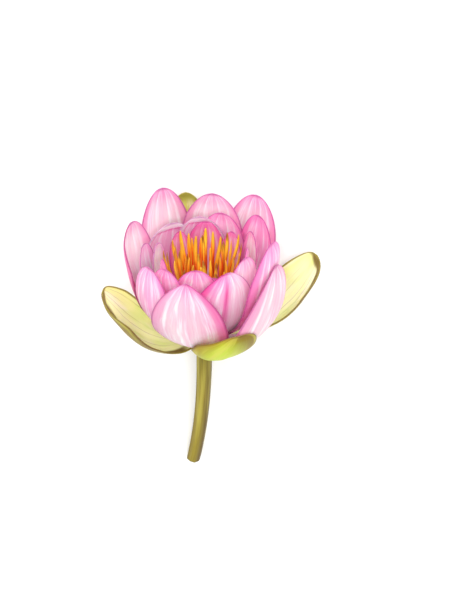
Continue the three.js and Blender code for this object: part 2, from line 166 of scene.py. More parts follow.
# how much the tone rises from a petal's middle to its side at V = 1 (and falls to the other)
# painted light: petal_second_7's side at V = 1 lies in shade between its neighbours and is made paler
SLOPES = {"petal_second_7": -0.24, "petal_outer_5": 0.08, "petal_outer_6": 0.04}
CREASED = {"petal_second_7": 0.45}  # a deeper line along the middle fold
TURNED = {"petal_outer_4": 0.4}  # the margin beyond this V turns up and shows a deeper pink
# painted light on these petals: a pale highlight on the rolled-in lip and a painted shadow along its fold
FOLDED = ("petal_second_3", "petal_second_4")  # the lip is rolled in and pale
# what the colour is multiplied by, painted to offset the light: the outer petals stand in the most light
# and are toned down in red and blue, and petal_third_3 is made bluer against the orange light that the
# stamens throw on it
WHORL_LIGHT_OFFSET = {"outer": (0.93, 1.0, 0.91)}
LIGHT_OFFSET = {"petal_third_3": (0.98, 1.0, 1.14)}
CREAM = ((246, 255, 192), (244, 252, 156), (242, 252, 182))  # sepals inside: middle, margin, foot
OLIVE = ((164, 144, 62), (124, 100, 42), (180, 178, 62))  # and outside
BAND = (122, 105, 46)  # the margin drawn along one side of the two side sepals
LIME = ((192, 210, 44), (150, 118, 14), (196, 196, 40))  # outside of the one that faces the view
LIME_END = 0.68  # how light its brown end is, as a share of its margin's colour
MOSS = ((236, 234, 118), (128, 128, 38), (230, 232, 110))  # inside of the one behind the bloom


def linear(srgb):
    c = np.asarray(srgb, float) / 255.0
    return np.where(c <= 0.04045, c / 12.92, ((c + 0.055) / 1.055) ** 2.4)


def blend(a, b, f):
    return a * (1 - f) + b * f


def tone(x):
    """Colour at x = 0 (near white) to 1 (magenta) along PINKS, linear."""
    stops = linear(PINKS)
    at = np.linspace(0, 1, len(stops))
    return np.stack([np.interp(x, at, channel) for channel in stops.T], -1)


def smooth(x, lo, hi):
    """0 below lo, 1 above hi and a soft step between them."""
    t = np.clip((x - lo) / (hi - lo), 0, 1)
    return t * t * (3 - 2 * t)


def bell(x, width):
    return np.exp(-((x / width) ** 2))


def rng(*key):
    """Random draws seeded by names and numbers."""
    return np.random.default_rng([ord(ch) for ch in "".join(map(str, key))])


def angles(sides):
    return 2 * np.pi * np.arange(sides) / sides


# ---- form of a blade ---------------------------------------------------------------------------------
# U runs from foot to tip and V from -1 to 1 across. g is what USUAL, its whorl and its row say.
def bezier(p, t):
    t = t[:, None]
    return (1 - t) ** 3 * p[0] + 3 * (1 - t) ** 2 * t * p[1] + 3 * (1 - t) * t**2 * p[2] + t**3 * p[3]


def evenly(line, count):
    """The same line as evenly spaced points."""
    run = np.concatenate([[0], np.cumsum(np.linalg.norm(np.diff(line, axis=0), axis=1))])
    s = np.linspace(0, run[-1], count)
    return np.stack([np.interp(s, run, column) for column in line.T], -1)


def profile(g):
    """(r, z) along the blade's middle as evenly spaced samples, with tangents."""
    start = np.array([g["r0"], g["z0"]], float)
    end = np.array([g["r"], g["z"]], float)
    leave, arrive = math.radians(g["th0"]), math.radians(g["th1"])
    low = start + g["a"] * np.array([math.cos(leave), math.sin(leave)])
    high = np.array([end[0] - (end[1] - g["zb"]) / math.tan(arrive), g["zb"]])
    curve = bezier([start, low, high, end], np.linspace(0, 1, CURVE_SAMPLES))
    line = evenly(curve, PROFILE_SAMPLES)
    tan = np.gradient(line, axis=0)
    tan /= np.linalg.norm(tan, axis=1)[:, None]
    return line, tan


def half_width(U, g):
    low = np.sin(np.pi / 2 * np.clip(U / g["um"], 0, 1)) ** g["grow"]
    low = g["base"] + (1 - g["base"]) * low
    x = np.clip((U - g["um"]) / (1 - g["um"]), 0, 1)
    high = np.clip(1 - x * x, 0, 1) ** g["tip"]
    return g["w"] * np.where(U < g["um"], low, high)


def relief(g, U, V, across, phase):
    """How far each point stands up from the plain wrapped blade, towards the bowl."""
    # boat-shaped cross-section: the sides turn up
    low, high = g["cup"]
    root = g["cup_root"]
    h = np.where(V > 0, high, low) * np.abs(V) ** 3
    h = h * smooth(U, root, root + 0.35) * (1 - 0.9 * smooth(U, 0.7, 1.0))
    h = h + math.tan(math.radians(g["roll"])) * across * smooth(U, 0, 0.4)
    # a lip along the free margin rolls in over the inner face
    near = (np.abs(V) ** 6 + smooth(U, 0.74, 1.0) ** 6) ** (1 / 6)
    h = h + g["lip"] * smooth(near, 0.7, 1.05) * smooth(U, 0.5, 0.8)
    # the middle line lies in a shallow fold, the free margin waves a little
    h = h - FOLD_DEPTH * bell(V, 0.14) * np.sin(np.pi * np.clip(U, 0, 1)) ** 0.7
    side = np.where(V > 0, 1.0, 0.0)
    waves = np.sin(9 * U + 2.1 * side + phase[0]) + 0.6 * np.sin(17 * U + 1.3 * side + phase[1])
    return h + g["wave"] * np.abs(V) ** 3 * smooth(U, 0.35, 0.9) * waves


def surface(g):
    """A function of U and V that gives points of the blade's middle surface."""
    line, tan = profile(g)
    grid = np.linspace(0, 1, len(line))
    phase = rng(g["name"], "form").uniform(0, 2 * np.pi, 2)

    def at(U, V):
        r, z, tan_r, tan_z = (np.interp(U, grid, column) for column in (*line.T, *tan.T))
        across = half_width(U, g) * V
        # near its foot every blade lies close round the ovary
        wrap = 1 + (g["wrap"] - 1) * np.clip(U / 0.25, 0, 1)
        bend = np.maximum(r, 9) / wrap
        h = relief(g, U, V, across, phase)
        out = r - bend * (1 - np.cos(across / bend)) - h * tan_z
        aside = bend * np.sin(across / bend)
        az = np.radians(g["az"] + g["lean"] * np.clip(U, 0, 1) ** 1.5)
        cos, sin = np.cos(az), np.sin(az)
        return np.stack([out * cos - aside * sin, out * sin + aside * cos, z + h * tan_r], -1)

    return at


def normals(at, U, V):
    e = 1e-3
    # the tip is too narrow to have a normal of its own: it takes the one just before it
    Uc, Vc = np.clip(U, e, 0.985), np.clip(V, -1 + e, 1 - e)
    du = at(Uc + e, Vc) - at(Uc - e, Vc)
    dv = at(Uc, Vc + e) - at(Uc, Vc - e)
    n = np.cross(du, dv)
    return n / np.linalg.norm(n, axis=-1, keepdims=True)


# ---- laying down on the table ------------------------------------------------------------------------
def down(p):
    x, y, z = np.moveaxis(p, -1, 0)
    return np.stack([x, y * SIN + z * COS, -y * COS + z * SIN], -1)


def ovary_outline():
    rim = OVARY_TOP_Z
    return [
        (0, -0.9), (OVARY_R - 3.6, -0.9), (OVARY_R - 2.8, 0), (OVARY_R - 2.6, 1.9),
        (OVARY_R - 0.1, 3.1), (OVARY_R + 0.1, 7), (OVARY_R + 0.5, 12), (OVARY_TOP_R - 0.4, 18),
        (OVARY_TOP_R - 0.2, rim - 1.4), (OVARY_TOP_R - 0.7, rim), (STIGMA_R + 0.4, rim + 0.2),
        (STIGMA_R, rim + 2.2), (STIGMA_R - 1.2, rim + 2.6), (STIGMA_R - 3.4, rim - 0.2),
        (STIGMA_R - 6.6, rim - 2), (1.8, rim - 2.2), (1.2, rim - 0.4), (0, rim + 0.2),
    ]


def shift():
    """From the flower's own frame to the row's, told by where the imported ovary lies."""
    a = angles(STIGMA_RAYS * 2)
    rings = [np.stack([r * np.cos(a), r * np.sin(a), z + 0 * a], -1) for r, z in ovary_outline()]
    return np.array(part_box("pistil")[0]) * 1000 - down(np.concatenate(rings)).min(axis=0)


SHIFT = shift()


def place(p):
    """Flower frame in millimetres to the row frame in metres."""
    return (down(np.asarray(p, float)) + SHIFT) / 1000.0


def press(inner, outer):
    """Two faces of one blade, in metres: what would sink into the table is pressed flat on it."""
    lift = np.maximum(0, -np.minimum(inner[..., 2], outer[..., 2]))
    inner[..., 2] += lift
    outer[..., 2] += lift


# ---- mesh building -----------------------------------------------------------------------------------
def turn_faces_out(mesh):
    bm = bmesh.new()
    bm.from_mesh(mesh)
    bmesh.ops.recalc_face_normals(bm, faces=bm.faces)
    bm.to_mesh(mesh)
    bm.free()


def new_object(name, points, faces, mats, uv, colour, mat_index=None):
    mesh = bpy.data.meshes.new(name)
    mesh.from_pydata([tuple(p) for p in points], [], [tuple(int(i) for i in f) for f in faces])
    for mat in mats:
        mesh.materials.append(mat)
    mesh.polygons.foreach_set("use_smooth", [True] * len(mesh.polygons))
    if mat_index is not None:
        mesh.polygons.foreach_set("material_index", mat_index)
    corners = np.zeros(len(mesh.loops), np.int32)
    mesh.loops.foreach_get("vertex_index", corners)
    layer = mesh.uv_layers.new(name="Blade")
    layer.data.foreach_set("uv", uv[corners].astype(np.float32).ravel())
    ink = mesh.color_attributes.new(name="Ink", type="FLOAT_COLOR", domain="POINT")
    rgba = np.concatenate([colour, np.ones((len(colour), 1))], 1)
    ink.data.foreach_set("color", rgba.astype(np.float32).ravel())
    mesh.validate()
    turn_faces_out(mesh)
    obj = bpy.data.objects.new(name, mesh)
    bpy.context.scene.collection.objects.link(obj)
    return obj


def tube_faces(rings, sides):
    """Faces of a closed tube, whose points go round ring after ring."""
    faces = []
    for k in range(rings - 1):
        for i in range(sides):
            j = (i + 1) % sides
            faces.append([k * sides + i, k * sides + j, (k + 1) * sides + j, (k + 1) * sides + i])
    first, last = list(range(sides)), [(rings - 1) * sides + i for i in range(sides)]
    return faces + [first[::-1], last]


def blade_faces(index):
    """Faces over a grid of point numbers: quads, and triangles up to the one tip point."""
    faces = []
    for near, far in zip(index[:-1], index[1:]):
        for a, b, c, d in zip(near, far, far[1:], near[1:]):
            faces.append([a, b, c, d] if b != c else [a, b, d])
    return faces


def margin_walk(rows, cols):
    """Grid places round a blade's edge: along the foot, up one side, the tip, down the other."""
    foot = [(0, j) for j in range(cols)]
    up = [(i, cols - 1) for i in range(1, rows - 1)]
    back = [(i, 0) for i in range(rows - 2, 0, -1)]
    return tuple(np.array(foot + up + [(rows - 1, cols // 2)] + back).T)


def rounded_margin(inner, outer, walk):
    """One more line of points round the edge, a little proud of both faces."""
    rows, cols = inner.shape[:2]
    centre = 0.5 * (inner + outer)
    edge, thick = centre[walk], (inner - outer)[walk]
    out = np.cross(np.roll(edge, -1, 0) - np.roll(edge, 1, 0), thick)
    out /= np.maximum(np.linalg.norm(out, axis=1, keepdims=True), 1e-12)
    # a point further in tells outwards from inwards
    within = centre[np.clip(walk[0], 1, rows - 3), np.clip(walk[1], 2, cols - 3)]
    out *= np.sign(np.sum(out * (edge - within), 1, keepdims=True) + 1e-12)
    proud = edge + MARGIN_PROUD * np.linalg.norm(thick, axis=1, keepdims=True) * out
    proud[:, 2] = np.maximum(proud[:, 2], 0.0)
    return proud


def shell(inner, outer):
    """A closed blade from its two faces. Gives its points and faces, which material each face has,
    and for each point of the margin the grid point beside it."""
    rows, cols = inner.shape[:2]
    count = rows * cols
    index = np.arange(count).reshape(rows, cols)
    index[-1, :] = index[-1, cols // 2]  # the tip is one point
    walk = margin_walk(rows, cols)
    rim = index[walk]
    faces = blade_faces(index)
    mat_index = [0] * len(faces) + [1] * len(faces)
    faces += [[i + count for i in reversed(f)] for f in faces]
    for k, (a, b) in enumerate(zip(rim, np.roll(rim, -1))):
        p, q = 2 * count + k, 2 * count + (k + 1) % len(rim)
        faces += [[b, q, p, a], [p, q, b + count, a + count]]
        mat_index += [0, 1]
    proud = rounded_margin(inner, outer, walk)
    points = np.concatenate([inner.reshape(-1, 3), outer.reshape(-1, 3), proud])
    return points, faces, mat_index, rim


def compact(points, faces, uv, colour):
    """Without the points that no face uses."""
    used = np.zeros(len(points), bool)
    for f in faces:
        used[f] = True
    to = np.cumsum(used) - 1
    return points[used], [to[f] for f in faces], uv[used], colour[used]


# ---- colour of a blade -------------------------------------------------------------------------------
def margin_share(U, V):
    """0 in the middle of a blade, 1 at its margin and tip."""
    side = smooth(np.abs(V), 0.25, 1.05) ** 1.15
    return np.clip(np.maximum(side, smooth(U, 0.8, 1.0) ** 1.4), 0, 1)


def foot_share(U):
    return 1 - smooth(U, 0.05, 0.5)


def petal_colour(U, V, name, whorl):
    middle, margin, foot = TONES.get(name, WHORL_TONES[whorl])
    draw = rng(name, "tone")
    f = margin_share(U, V)
    # one side is a little deeper than the other, and the colour drifts along the blade
    lop = 0.07 * V * draw.uniform(-1, 1) + 0.05 * np.sin(5 * U + draw.uniform(0, 6))
    x = middle + (margin - middle) * f + lop * (1 - f) + SLOPES.get(name, 0.0) * V
    if name in FOLDED:
        # the rolled-in lip is painted pale, a painted highlight, with a deeper line along its fold painted
        # as the fold's shadow
        x = x + 0.2 * smooth(f, 0.4, 0.56) * (1 - smooth(f, 0.58, 0.66))
        x = blend(x, 0.08, smooth(f, 0.6, 0.72))
    if name in TURNED:
        # the fold runs out to the margin near the tip
        fold = TURNED[name] + 0.5 * smooth(U, 0.72, 1.0)
        x = x + 0.24 * smooth(V, fold - 0.06, fold + 0.04)
        x = x + 0.34 * bell(V - fold, 0.055) * smooth(U, 0.3, 0.5)
    x = x + CREASED.get(name, 0.05) * bell(V, 0.08) * (1 - smooth(U, 0.8, 1.0))
    # painted shade: towards the foot the tone goes to the foot's, a deeper pink where the petals crowd and
    # shade each other
    x = blend(x, foot, 0.85 * foot_share(U))
    # painted light: a multiplier that offsets how much light, and what light, falls on the petal
    light_offset = LIGHT_OFFSET.get(name, WHORL_LIGHT_OFFSET.get(whorl, 1.0))
    return np.minimum(tone(np.clip(x, 0, 1)) * light_offset, 1.0)


def sepal_colour(U, V, inks):
    middle, margin, foot = (linear(ink) for ink in inks)
    colour = blend(middle, margin, margin_share(U, V)[..., None] ** 1.5)
    return blend(colour, foot, 0.7 * foot_share(U)[..., None])


def banded(colour, U, V, g):
    """A side sepal's pale inside has an olive margin, widest along one side."""
    from_margin = (1 - np.abs(V)) * half_width(U, g)
    broad = g["broad"] * smooth(U, 0.45, 0.8) * (1 - 0.6 * smooth(U, 0.86, 1.0))
    wide = 1 - smooth(from_margin - broad, 4.0, 6.2)
    wide = wide * smooth(V * g["band"], 0.0, 0.35) * smooth(U, 0.02, 0.12)
    side = smooth(V * g["band"], -0.7, 0.3)
    thin = 1 - smooth(from_margin, 0.5, 1.1)
    end = smooth(U, 0.955 - 0.055 * side, 0.99 - 0.04 * side)
    clear = (1 - wide) * (1 - thin) * (1 - end)
    return blend(colour, linear(BAND), 1 - clear[..., None])


def browned(colour, U, V):
    """The front sepal's outside turns brown towards its tip and one side."""
    brown = 0.9 * smooth(0.8 * U + 0.35 * V, 0.45, 0.95)
    return blend(colour, linear(LIME[1]) * LIME_END, brown[..., None])


def blade_colours(U, V, g):
    """Colours of the inner and the outer face."""
    name = g["name"]
    if g["whorl"] != "sepal":
        both = petal_colour(U, V, name, g["whorl"])
        return both, both
    inner = sepal_colour(U, V, MOSS if name == "sepal_back" else CREAM)
    if g["band"]:
        inner = banded(inner, U, V, g)
    if name == "sepal_front":
        return inner, browned(sepal_colour(U, V, LIME), U, V)
    return inner, sepal_colour(U, V, OLIVE)


# ---- materials ---------------------------------------------------------------------------------------
class Nodes:
    """Small helper to wire a node tree."""

    def __init__(self, name):
        self.mat = bpy.data.materials.new(name)
        self.mat.use_nodes = True
        self.tree = self.mat.node_tree
        self.tree.nodes.clear()
        self.bsdf = self.add("ShaderNodeBsdfPrincipled")
        self.link(self.bsdf.outputs["BSDF"], self.add("ShaderNodeOutputMaterial").inputs["Surface"])

    def add(self, kind, **values):
        node = self.tree.nodes.new(kind)
        for key, value in values.items():
            setattr(node, key, value)
        return node

    def link(self, a, b):
        self.tree.links.new(a, b)

    def feed(self, socket, value):
        """Give a socket a number, a colour or another node's output."""
        if isinstance(value, (int, float)):
            socket.default_value = value
        elif isinstance(value, tuple):
            socket.default_value = (*value, 1.0)
        else:
            self.link(value, socket)

    def calc(self, operation, *values):
        node = self.add("ShaderNodeMath", operation=operation)
        for socket, value in zip(node.inputs, values):
            self.feed(socket, value)
        return node.outputs[0]

    def times(self, a, b):
        return self.calc("MULTIPLY", a, b)

    def minus(self, a, b):
        return self.calc("SUBTRACT", a, b)

    def mix(self, share, a, b, blend_type="MIX"):
        node = self.add("ShaderNodeMix", data_type="RGBA", blend_type=blend_type)
        for socket, value in ((node.inputs[0], share), (node.inputs[6], a), (node.inputs[7], b)):
            self.feed(socket, value)
        return node.outputs[2]

    def ramp(self, value, lo, hi):
        node = self.add("ShaderNodeMapRange", interpolation_type="SMOOTHSTEP", clamp=True)
        for socket, part in zip(node.inputs, (value, lo, hi)):
            self.feed(socket, part)
        return node.outputs[0]

    def split(self, value, kind="XYZ"):
        node = self.add("ShaderNodeSeparate" + kind)
        self.link(value, node.inputs[0])
        return node.outputs

    def noise(self, vector, scale, detail=2.0, rough=0.5):
        node = self.add("ShaderNodeTexNoise")
        self.link(vector, node.inputs["Vector"])
        self.feed(node.inputs["Scale"], scale)
        self.feed(node.inputs["Detail"], detail)
        self.feed(node.inputs["Roughness"], rough)
        return node.outputs[0]

    def streaks(self, vector, across_n, along_n, detail=2.0, rough=0.5, offset=0.0):
        """Noise drawn out along a piece: about so many streaks across and along it."""
        node = self.add("ShaderNodeMapping")
        self.link(vector, node.inputs["Vector"])
        node.inputs["Scale"].default_value = (across_n, along_n, 1.0)
        node.inputs["Location"].default_value = (offset, offset, offset)
        return self.noise(node.outputs[0], 1.0, detail, rough)

    def uv(self):
        return self.add("ShaderNodeUVMap", uv_map="Blade").outputs[0]

    def ink(self):
        return self.add("ShaderNodeVertexColor", layer_name="Ink").outputs[0]

    def finish(self, colour, looks, height, bump_mm, strength=0.4):
        """The colour, the shader's own settings and a bump."""
        self.link(colour, self.bsdf.inputs["Base Color"])
        for socket, value in looks.items():
            self.bsdf.inputs[socket].default_value = value
        bump = self.add("ShaderNodeBump")
        self.feed(bump.inputs["Strength"], strength)
        self.feed(bump.inputs["Distance"], bump_mm / 1000)
        self.link(height, bump.inputs["Height"])
        self.link(bump.outputs[0], self.bsdf.inputs["Normal"])
        return self.mat


def rgb(*srgb):
    return tuple(float(x) for x in linear(srgb))


def blade_axes(m, drift_scale, wander):
    """How far along a blade, how far across, the same bent by a slow drift, and the drift."""
    across, along = m.split(m.uv())[:2]
    drift = m.noise(m.add("ShaderNodeTexCoord").outputs["Object"], drift_scale)
    bent = m.calc("ADD", across, m.times(m.minus(drift, 0.5), wander))
    return along, across, bent, drift


def off_middle(m, across):
    """0 on a blade's middle line, 1 at its two margins."""
    return m.calc("ABSOLUTE", m.minus(m.times(across, 2.0), 1.0))


def margin_shade_line(m, side, along, side_from, tip_from):
    """The thin deeper line that a margin is drawn in: painted shade, standing in for the shade where one
    blade's edge meets the next.
    """
    return m.times(m.calc("MAXIMUM", m.ramp(side, side_from, 1.0), m.ramp(along, tip_from, 1.0)), 0.8)


def petal_material():
    m = Nodes("petal")
    ink = m.ink()
    along, across, bent, drift = blade_axes(m, 90.0, 0.035)
    # streaks run with the blade, each petal cut from another part of the pattern
    space = m.add("ShaderNodeCombineXYZ")
    for socket, value in zip(space.inputs, (bent, along, m.times(drift, 0.5))):
        m.link(value, socket)
    fine = m.streaks(space.outputs[0], 44, 3.4, 3.0, 0.6)
    broad = m.streaks(space.outputs[0], 15, 2.2, 3.0, 0.6, offset=7.0)
    side = off_middle(m, across)
    inside = m.minus(1.0, m.ramp(side, 0.55, 1.0))
    # the deeper the ink, the fewer pale streaks on it
    green = m.split(ink, "Color")[1]
    pale = m.times(m.times(m.times(m.ramp(broad, 0.42, 0.7), inside), 0.72), m.ramp(green, 0.03, 0.38))
    deep = m.times(m.ramp(fine, 0.44, 0.78), 0.5)
    c = m.mix(pale, ink, rgb(246, 239, 241))
    c = m.mix(deep, c, m.mix(1.0, c, rgb(248, 184, 220), "MULTIPLY"))
    # painted shade: a thin mauve line round the margin and tip
    line = margin_shade_line(m, side, along, 0.92, 0.968)
    c = m.mix(line, c, m.mix(1.0, c, rgb(158, 112, 162), "MULTIPLY"))
    looks = {"Roughness": 0.6, "Specular IOR Level": 0.2, "Sheen Weight": 0.1, "Sheen Roughness": 0.5,
             "Subsurface Weight": 0.55, "Subsurface Radius": (1.0, 0.5, 0.75), "Subsurface Scale": 0.004}
    return m.finish(c, looks, fine, bump_mm=0.2, strength=0.3)


def sepal_material(name, pale_ink, deep_ink, line_ink, tint_ink=None):
    """Streaks and a margin line of painted shade; with a tint, the inside face, which also has veins."""
    m = Nodes(name)
    ink = m.ink()
    along, across, bent, _ = blade_axes(m, 70.0, 0.05)
    space = m.add("ShaderNodeCombineXYZ")
    for socket, value in zip(space.inputs, (bent, along)):
        m.link(value, socket)
    fine = m.streaks(space.outputs[0], 44, 3.0, 4.0, 0.65)
    broad = m.streaks(space.outputs[0], 9, 1.6, offset=4.0)
    pale = m.times(m.ramp(broad, 0.45, 0.7), 0.6)
    deep = m.times(m.ramp(fine, 0.5, 0.78), 0.3)
    height = fine
    if tint_ink:
        # streaks and tints keep off the olive margin: they follow how light the ink is
        light = m.ramp(m.split(ink, "Color")[0], 0.3, 0.75)
        pale, deep = m.times(pale, light), m.times(deep, light)
    c = m.mix(pale, ink, rgb(*pale_ink))
    c = m.mix(deep, c, rgb(*deep_ink))
    if tint_ink:
        patches = m.ramp(m.streaks(space.outputs[0], 4.0, 3.0, offset=11.0), 0.48, 0.66)
        c = m.mix(m.times(m.times(patches, 0.5), light), c, rgb(*tint_ink))
        # about nine veins fan out from the foot, broken here and there
        wave = m.calc("SINE", m.times(m.minus(bent, 0.5), 56.0))
        veins = m.times(m.ramp(wave, 0.86, 1.0), m.ramp(broad, 0.4, 0.62))
        c = m.mix(m.times(veins, 0.5), c, rgb(*line_ink))
        height = m.minus(fine, veins)
    # painted shade: a thin deeper line round the margin and tip
    line = margin_shade_line(m, off_middle(m, across), along, 0.94, 0.975)
    c = m.mix(line, c, rgb(*line_ink))
    looks = {"Roughness": 0.5, "Specular IOR Level": 0.3, "Subsurface Weight": 0.2,
             "Subsurface Radius": (1.0, 0.9, 0.4), "Subsurface Scale": 0.003}
    return m.finish(c, looks, height, bump_mm=0.25)


def streaked_material(name, pale_ink, deep_ink, across_n, along_n, roughness, strength, bump_mm):
    m = Nodes(name)
    uv = m.uv()
    fine = m.streaks(uv, across_n, along_n, 4.0, 0.6)
    broad = m.streaks(uv, across_n * 0.3, along_n * 0.6, offset=5.0)
    c = m.mix(m.times(m.ramp(broad, 0.45, 0.7), strength), m.ink(), rgb(*pale_ink))
    c = m.mix(m.times(m.ramp(fine, 0.5, 0.75), strength), c, rgb(*deep_ink))
    return m.finish(c, {"Roughness": roughness, "Specular IOR Level": 0.3}, fine, bump_mm)


# ---- petals and sepals -------------------------------------------------------------------------------
PETAL = petal_material()
SEPAL_IN = sepal_material("sepal_inside", (252, 255, 226), (230, 236, 132), (150, 144, 60), (216, 242, 128))
SEPAL_OUT = sepal_material("sepal_outside", (206, 202, 78), (122, 98, 36), (104, 78, 30))


def blade(name, whorl, az, r, z, w, more):
    """One fine petal or sepal."""
    g = {**USUAL, **WHORLS[whorl], "name": name, "whorl": whorl, "az": az, "r": r, "z": z, "w": w, **more}
    # rows and columns lie closer towards the tip and the margins
    s, q = np.linspace(0, 1, BLADE_ROWS + 1), np.linspace(-1, 1, BLADE_COLS + 1)
    u, v = blend(s, np.sin(s * np.pi / 2), 0.55), blend(q, np.sin(q * np.pi / 2), 0.4)
    U, V = np.meshgrid(u, v, indexing="ij")
    at = surface(g)
    middle, n = at(U, V), normals(at, U, V)
    # the blade thins towards its margin and tip
    thin = 1 - 0.5 * np.maximum(np.abs(V) ** 5, smooth(U, 0.8, 1.0) ** 2)
    half = (g["t"] / 2 * thin)[..., None]
    inner, outer = place(middle + half * n), place(middle - half * n)
    press(inner, outer)
    points, faces, mat_index, rim = shell(inner, outer)
    flat = np.stack([V.ravel() * 0.5 + 0.5, U.ravel()], -1)
    uv = np.concatenate([flat, flat, flat[rim]])
    inside, outside = (ink.reshape(-1, 3) for ink in blade_colours(U, V, g))
    colour = np.concatenate([inside, outside, 0.5 * (inside + outside)[rim]])
    points, faces, uv, colour = compact(points, faces, uv, colour)
    mats = [SEPAL_IN, SEPAL_OUT] if whorl == "sepal" else [PETAL, PETAL]
    obj = new_object("fine_" + name, points, faces, mats, uv, colour, mat_index)
    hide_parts(name)
    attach(obj, "root")


for spec in BLADES:
    blade(*spec)

# ---- stamens -----------------------------------------------------------------------------------------
STRAP_RINGS, STRAP_SIDES = 30, 10
COLLAR_SIDES, COLLAR_TUBE = 72, 10
COLLAR_R, COLLAR_RISE = 11.4, 1.35  # its middle line, above the ovary's rim
COLLAR_HALF_WIDTH, COLLAR_HALF_HEIGHT = 1.25, 0.85
STAMEN_FOOT, STAMEN_MIDDLE, STAMEN_TOP, STAMEN_TIP, STAMEN_EDGE = (
    linear(c) for c in ((232, 58, 14), (255, 146, 16), (255, 212, 56), (104, 34, 26), (176, 50, 14)))


def lcg(seed):
    """Draws from -0.5 to 0.5, the same as in the part's source."""
    modulus = 2**31 - 1
    while True:
        seed = seed * 16807 % modulus
        yield seed / modulus - 0.5


def strap(row, number, chance):
    """Points, UVs and colours of one flat, pointed stamen, ring after ring."""
    count, foot, tip_r, tip_z, w, az0, red = row
    az = math.radians(az0 + 360 * number / count) + 0.16 * next(chance)
    r = tip_r + 2.6 * next(chance)
    z = tip_z - 1.2 + 9 * next(chance)
    bow = 1.5 + 1.4 * next(chance)
    extra = rng("stamen", count, number)
    handles = [(foot, OVARY_TOP_Z + 0.9), (foot + bow, OVARY_TOP_Z + 13), (r + bow * 0.6, z - 14), (r, z)]
    t = np.linspace(0, 1, STRAP_RINGS)
    line = bezier(np.array(handles), t)
    sway = 1.3 * extra.uniform(-1, 1) * np.sin(np.pi * t * extra.uniform(0.7, 1.3))
    # full width for most of the length, then a blunt tip
    width = w * np.interp(t, [0, 0.2, 0.5, 0.8, 0.9, 0.96, 1.0], [0.8, 1.0, 1.0, 0.86, 0.7, 0.5, 0.16])
    thick = np.interp(t, [0, 0.5, 0.9, 1.0], [0.5, 0.62, 0.5, 0.12])

    # a flattened section, hollow towards the axis
    cos, sin = np.cos(angles(STRAP_SIDES)), np.sin(angles(STRAP_SIDES))
    across = np.outer(width, np.copysign(np.abs(cos) ** 0.8, cos)) + sway[:, None]
    out = line[:, :1] + np.outer(thick, sin) - 0.16 * np.outer(width, 1 - cos**2)
    height = np.broadcast_to(line[:, 1:], out.shape)
    points = np.stack([out * math.cos(az) - across * math.sin(az),
                       out * math.sin(az) + across * math.cos(az), height], -1)

    burnt = 0.2 + 0.8 * smooth(extra.uniform(0, 1), 0.55, 0.8)  # only some tips are brown
    red = red + extra.uniform(-0.06, 0.08)
    speckle = extra.uniform(-1, 1, (STRAP_RINGS, STRAP_SIDES, 2))
    f = (t[:, None] + 0.04 * speckle[..., 0] - red)[..., None]
    end = (t[:, None] + 0.03 * speckle[..., 1])[..., None]
    colour = blend(STAMEN_FOOT, STAMEN_MIDDLE, smooth(f, 0.4, 0.68))
    colour = blend(colour, STAMEN_TOP, 0.9 * smooth(f, 0.52, 0.78))
    colour = blend(colour, STAMEN_TIP, burnt * smooth(end, 0.8, 0.95))
    colour = blend(colour, STAMEN_EDGE, 0.85 * smooth(np.abs(cos), 0.5, 1.0)[:, None])
    uv = np.stack(np.broadcast_arrays(0.5 + 0.49 * cos, t[:, None]), -1)
    return points.reshape(-1, 3), uv.reshape(-1, 2), colour.reshape(-1, 3)


def collar():
    """Points, UVs, colours and faces of the ring that the stamens grow from."""
    a, b = np.meshgrid(angles(COLLAR_SIDES), angles(COLLAR_TUBE), indexing="ij")
    r = COLLAR_R + COLLAR_HALF_WIDTH * np.cos(b)
    z = OVARY_TOP_Z + COLLAR_RISE + COLLAR_HALF_HEIGHT * np.sin(b)
    points = np.stack([r * np.cos(a), r * np.sin(a), z], -1).reshape(-1, 3)
    uv = np.stack([a, b], -1).reshape(-1, 2) / (2 * np.pi)
    index = np.arange(a.size).reshape(a.shape)
    turned, round_again = np.roll(index, -1, 0), np.roll(index, -1, 1)
    corners = np.stack([index, turned, np.roll(turned, -1, 1), round_again], -1)
    return points, uv, np.tile(STAMEN_FOOT, (len(points), 1)), corners.reshape(-1, 4).tolist()


def stamens():
    chance = lcg(41)
    strips = [strap(row, i, chance) for row in STAMEN_ROWS for i in range(row[0])]
    one = tube_faces(STRAP_RINGS, STRAP_SIDES)
    size = STRAP_RINGS * STRAP_SIDES
    faces = [[i + k * size for i in f] for k in range(len(strips)) for f in one]
    *ring, ring_faces = collar()
    faces += [[i + len(strips) * size for i in f] for f in ring_faces]
    points, uv, colour = (np.concatenate(parts) for parts in zip(*strips, ring))
    mat = streaked_material("stamen", (255, 220, 70), (222, 84, 16), 9, 3.0, 0.5, 0.45, 0.12)
    obj = new_object("fine_stamens", place(points), faces, [mat], uv, colour)
    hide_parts("stamens")
    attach(obj, "root")


stamens()

# ---- ovary -------------------------------------------------------------------------------------------
OVARY_RINGS, OVARY_SIDES = 110, 128
RAY_HEIGHT = 0.45


